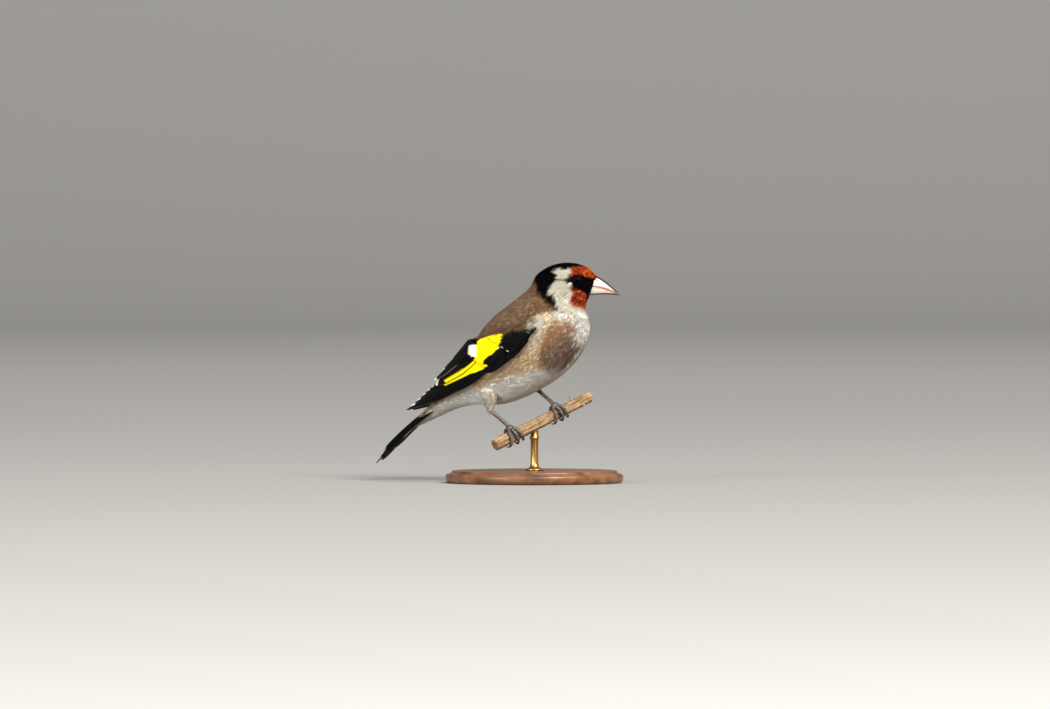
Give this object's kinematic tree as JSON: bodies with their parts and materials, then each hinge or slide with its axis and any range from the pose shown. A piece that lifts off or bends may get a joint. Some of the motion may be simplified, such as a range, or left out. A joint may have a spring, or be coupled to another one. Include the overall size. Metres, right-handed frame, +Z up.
{
  "type": "perched goldfinch figure",
  "caption": "Life-size European goldfinch gripping a cut length of thistle stem, on a round display stand.",
  "frame": {"origin": "centre of the underside of the stand's base", "axes": "+X the way the bird heads, -Y its right side, +Z up"},
  "size_m": [0.1042, 0.072, 0.0892],
  "materials": {
    "head_plumage": "soft short feathers, red, black and white",
    "body_plumage": "soft feathers, brown above and whitish below",
    "flight_feathers": "smooth black vanes with a yellow wing bar and pale tips",
    "bill": "smooth pale horn with a dark ridge and tip",
    "eye": "wet dark gloss",
    "leg_scales": "fine brown scales",
    "claw": "smooth dark horn",
    "stem": "dry ribbed stem",
    "stand_wood": "satin turned wood",
    "stand_metal": "satin metal rod"
  },
  "bodies": {
    "root": {"head": "head_plumage", "neck": "body_plumage", "trunk": "body_plumage", "tail": "flight_feathers", "wing_left": "flight_feathers", "wing_right": "flight_feathers", "bill_upper": "bill", "bill_lower": "bill", "eye_left": "eye", "eye_right": "eye", "thigh_left": "body_plumage", "thigh_right": "body_plumage", "foot_left": "leg_scales", "foot_right": "leg_scales", "claw_left_hallux": "claw", "claw_left_inner": "claw", "claw_left_middle": "claw", "claw_left_outer": "claw", "claw_right_hallux": "claw", "claw_right_inner": "claw", "claw_right_middle": "claw", "claw_right_outer": "claw", "perch": "stem", "stand_base": "stand_wood", "stand_rod": "stand_metal"}
  },
  "joints": []
}
